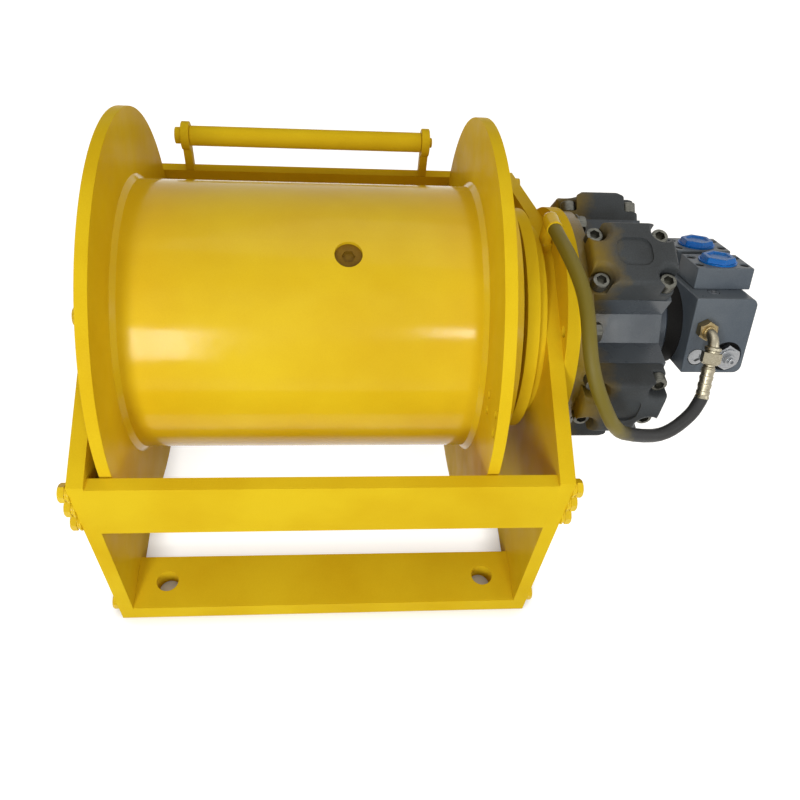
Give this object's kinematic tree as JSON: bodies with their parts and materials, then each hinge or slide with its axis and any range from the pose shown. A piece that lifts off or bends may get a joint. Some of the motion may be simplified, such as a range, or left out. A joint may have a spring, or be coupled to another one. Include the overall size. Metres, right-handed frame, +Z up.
{
  "type": "hydraulic winch",
  "caption": "Hydraulic rope winch: flanged drum in a bolted plate frame, driven by a radial piston motor through a planetary gear and spring brake inside the drum.",
  "frame": {"origin": "centre of the four foundation holes, on the floor under the base plates", "axes": "+X along the drum axis to the motor, +Y to the rear beam with the rope guard, +Z up"},
  "size_m": [0.7362, 0.491, 0.5009],
  "materials": {
    "yellow_paint": "glossy enamel over welded plate",
    "bright_steel": "machined or zinc plated",
    "motor_paint": "satin paint over cast iron",
    "block_paint": "blue-grey satin paint over machined iron",
    "fitting_metal": "plated steel with a yellow passivated adapter",
    "bronze": "machined",
    "friction_lining": "sintered lining",
    "blue_plastic": "moulded transport plug",
    "hose_rubber": "smooth black cover with yellow overspray on its upper half"
  },
  "bodies": {
    "frame": {"side_plate_left": "yellow_paint", "side_plate_right": "yellow_paint", "front_beam": "yellow_paint", "rear_beam": "yellow_paint", "base_plate_front": "yellow_paint", "base_plate_rear": "yellow_paint", "frame_bolts": "yellow_paint", "guard_lugs": "yellow_paint", "guard_pin": "yellow_paint", "left_bearing_outer": "bright_steel", "left_bearing_housing": "yellow_paint", "left_bearing_cover": "yellow_paint", "left_housing_bolts": "yellow_paint", "support_sleeve": "yellow_paint", "planet_carrier": "bright_steel", "planet_pins": "bright_steel", "carrier_screws": "bright_steel", "drum_bearing_inner": "bright_steel", "steel_plates": "bright_steel", "brake_springs": "bright_steel", "mount_disc": "yellow_paint", "housing_screws": "bright_steel", "motor_crankcase": "motor_paint", "motor_flange_bolts": "bright_steel", "crank_bearings": "bronze", "pistons": "bright_steel", "cylinder_cap_1": "motor_paint", "cylinder_cap_2": "motor_paint", "cylinder_cap_3": "motor_paint", "cylinder_cap_4": "motor_paint", "cylinder_cap_5": "motor_paint", "cap_screws": "motor_paint", "distributor_housing": "motor_paint", "valve_block": "block_paint", "valve_block_screws": "bright_steel", "port_block_near": "block_paint", "port_block_rear": "block_paint", "port_plugs": "blue_plastic", "relief_cartridge": "bright_steel", "hose_fittings": "fitting_metal", "brake_hose": "hose_rubber"},
    "drum": {"drum_barrel": "yellow_paint", "drum_flange_left": "yellow_paint", "drum_flange_right": "yellow_paint", "drum_hub": "yellow_paint", "drum_plug": "yellow_paint", "bearing_carrier": "yellow_paint", "ring_gear": "bright_steel", "drum_bearing_outer": "bright_steel", "left_bearing_inner": "bright_steel"},
    "drive_shaft": {"sun_shaft": "bright_steel", "brake_hub": "bright_steel", "friction_discs": "friction_lining", "crankshaft": "bright_steel", "valve_rotor": "bright_steel"},
    "planet_1": {"planet_gear_1": "bright_steel"},
    "planet_2": {"planet_gear_2": "bright_steel"},
    "planet_3": {"planet_gear_3": "bright_steel"},
    "piston_ring": {"brake_piston": "bright_steel"},
    "guard_roller": {"guard_tube": "yellow_paint"}
  },
  "joints": [
    {"name": "drum_spin", "type": "hinge", "parent": "frame", "child": "drum", "pos_m": [0, 0, 0.278], "axis": [1, 0, 0], "continuous": true},
    {"name": "shaft_spin", "type": "hinge", "parent": "frame", "child": "drive_shaft", "pos_m": [0, 0, 0.278], "axis": [1, 0, 0], "continuous": true},
    {"name": "planet_1_spin", "type": "hinge", "parent": "frame", "child": "planet_1", "pos_m": [0, 0, 0.206], "axis": [1, 0, 0], "continuous": true},
    {"name": "planet_2_spin", "type": "hinge", "parent": "frame", "child": "planet_2", "pos_m": [0, 0.06235, 0.314], "axis": [1, 0, 0], "continuous": true},
    {"name": "planet_3_spin", "type": "hinge", "parent": "frame", "child": "planet_3", "pos_m": [0, -0.06235, 0.314], "axis": [1, 0, 0], "continuous": true},
    {"name": "brake_release", "type": "slide", "parent": "frame", "child": "piston_ring", "axis": [1, 0, 0], "range_m": [0, 0.002], "deforming": ["brake_springs"]},
    {"name": "guard_roll", "type": "hinge", "parent": "frame", "child": "guard_roller", "pos_m": [-0.026, 0.232, 0.36], "axis": [1, 0, 0], "continuous": true}
  ],
  "couplings": [
    {"joint": "shaft_spin", "follows": "drum_spin", "ratio": -3.8},
    {"joint": "planet_1_spin", "follows": "drum_spin", "ratio": 2.7143},
    {"joint": "planet_2_spin", "follows": "drum_spin", "ratio": 2.7143},
    {"joint": "planet_3_spin", "follows": "drum_spin", "ratio": 2.7143}
  ]
}
